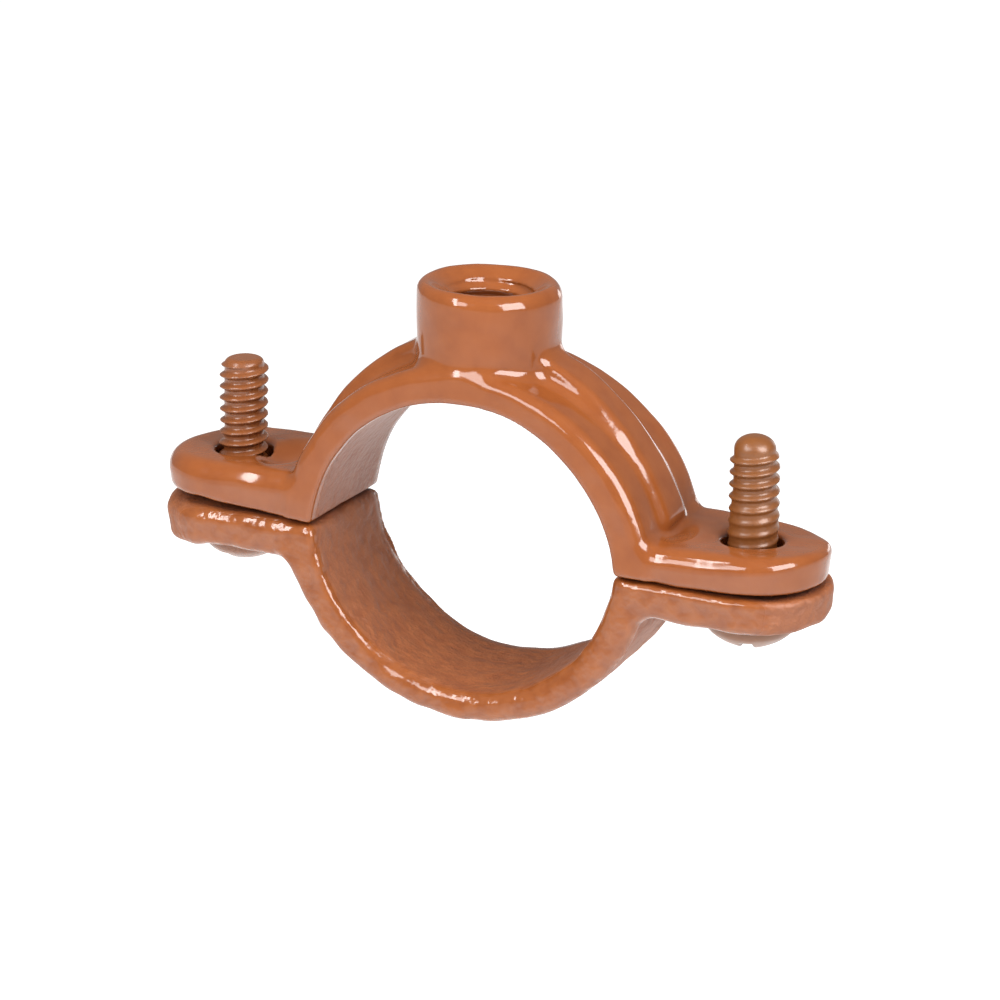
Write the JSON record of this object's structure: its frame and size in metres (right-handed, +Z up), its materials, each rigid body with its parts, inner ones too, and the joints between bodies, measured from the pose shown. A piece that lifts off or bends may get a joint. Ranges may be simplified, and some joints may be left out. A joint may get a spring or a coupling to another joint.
{
  "type": "split ring pipe hanger",
  "caption": "Cast split ring hanger for copper tube, with a tapped boss for a hanger rod and two halves drawn together by slotted screws through their ears.",
  "frame": {"origin": "centre of the boss mouth, where the hanger rod goes in", "axes": "+Z up along the hanger rod, +X along the ears, +Y along the tube"},
  "size_m": [0.076, 0.0154, 0.0454],
  "materials": {
    "upper_paint": "thick glossy copper-coloured paint over a casting",
    "lower_paint": "glossy copper-coloured paint over a rougher casting",
    "left_screw_paint": "copper-coloured paint, duller in the threads",
    "right_screw_paint": "copper-coloured paint, duller in the threads"
  },
  "bodies": {
    "upper_half": {"upper_half": "upper_paint"},
    "lower_half": {"lower_half": "lower_paint"},
    "left_screw": {"left_screw": "left_screw_paint"},
    "right_screw": {"right_screw": "right_screw_paint"}
  },
  "joints": [
    {"name": "lower_half_drop", "type": "slide", "parent": "upper_half", "child": "lower_half", "axis": [0, 0, -1], "range_m": [0, 0.016]},
    {"name": "left_screw_turn", "type": "hinge", "parent": "lower_half", "child": "left_screw", "pos_m": [-0.0294, 0, -0.0309], "axis": [0, 0, -1], "range_deg": [0, 4540]},
    {"name": "right_screw_turn", "type": "hinge", "parent": "lower_half", "child": "right_screw", "pos_m": [0.0294, 0, -0.0309], "axis": [0, 0, -1], "range_deg": [0, 4540]}
  ],
  "couplings": [
    {"joint": "left_screw_turn", "follows": "lower_half_drop", "rad_per_m": 4947.4},
    {"joint": "right_screw_turn", "follows": "lower_half_drop", "rad_per_m": 4947.4}
  ]
}
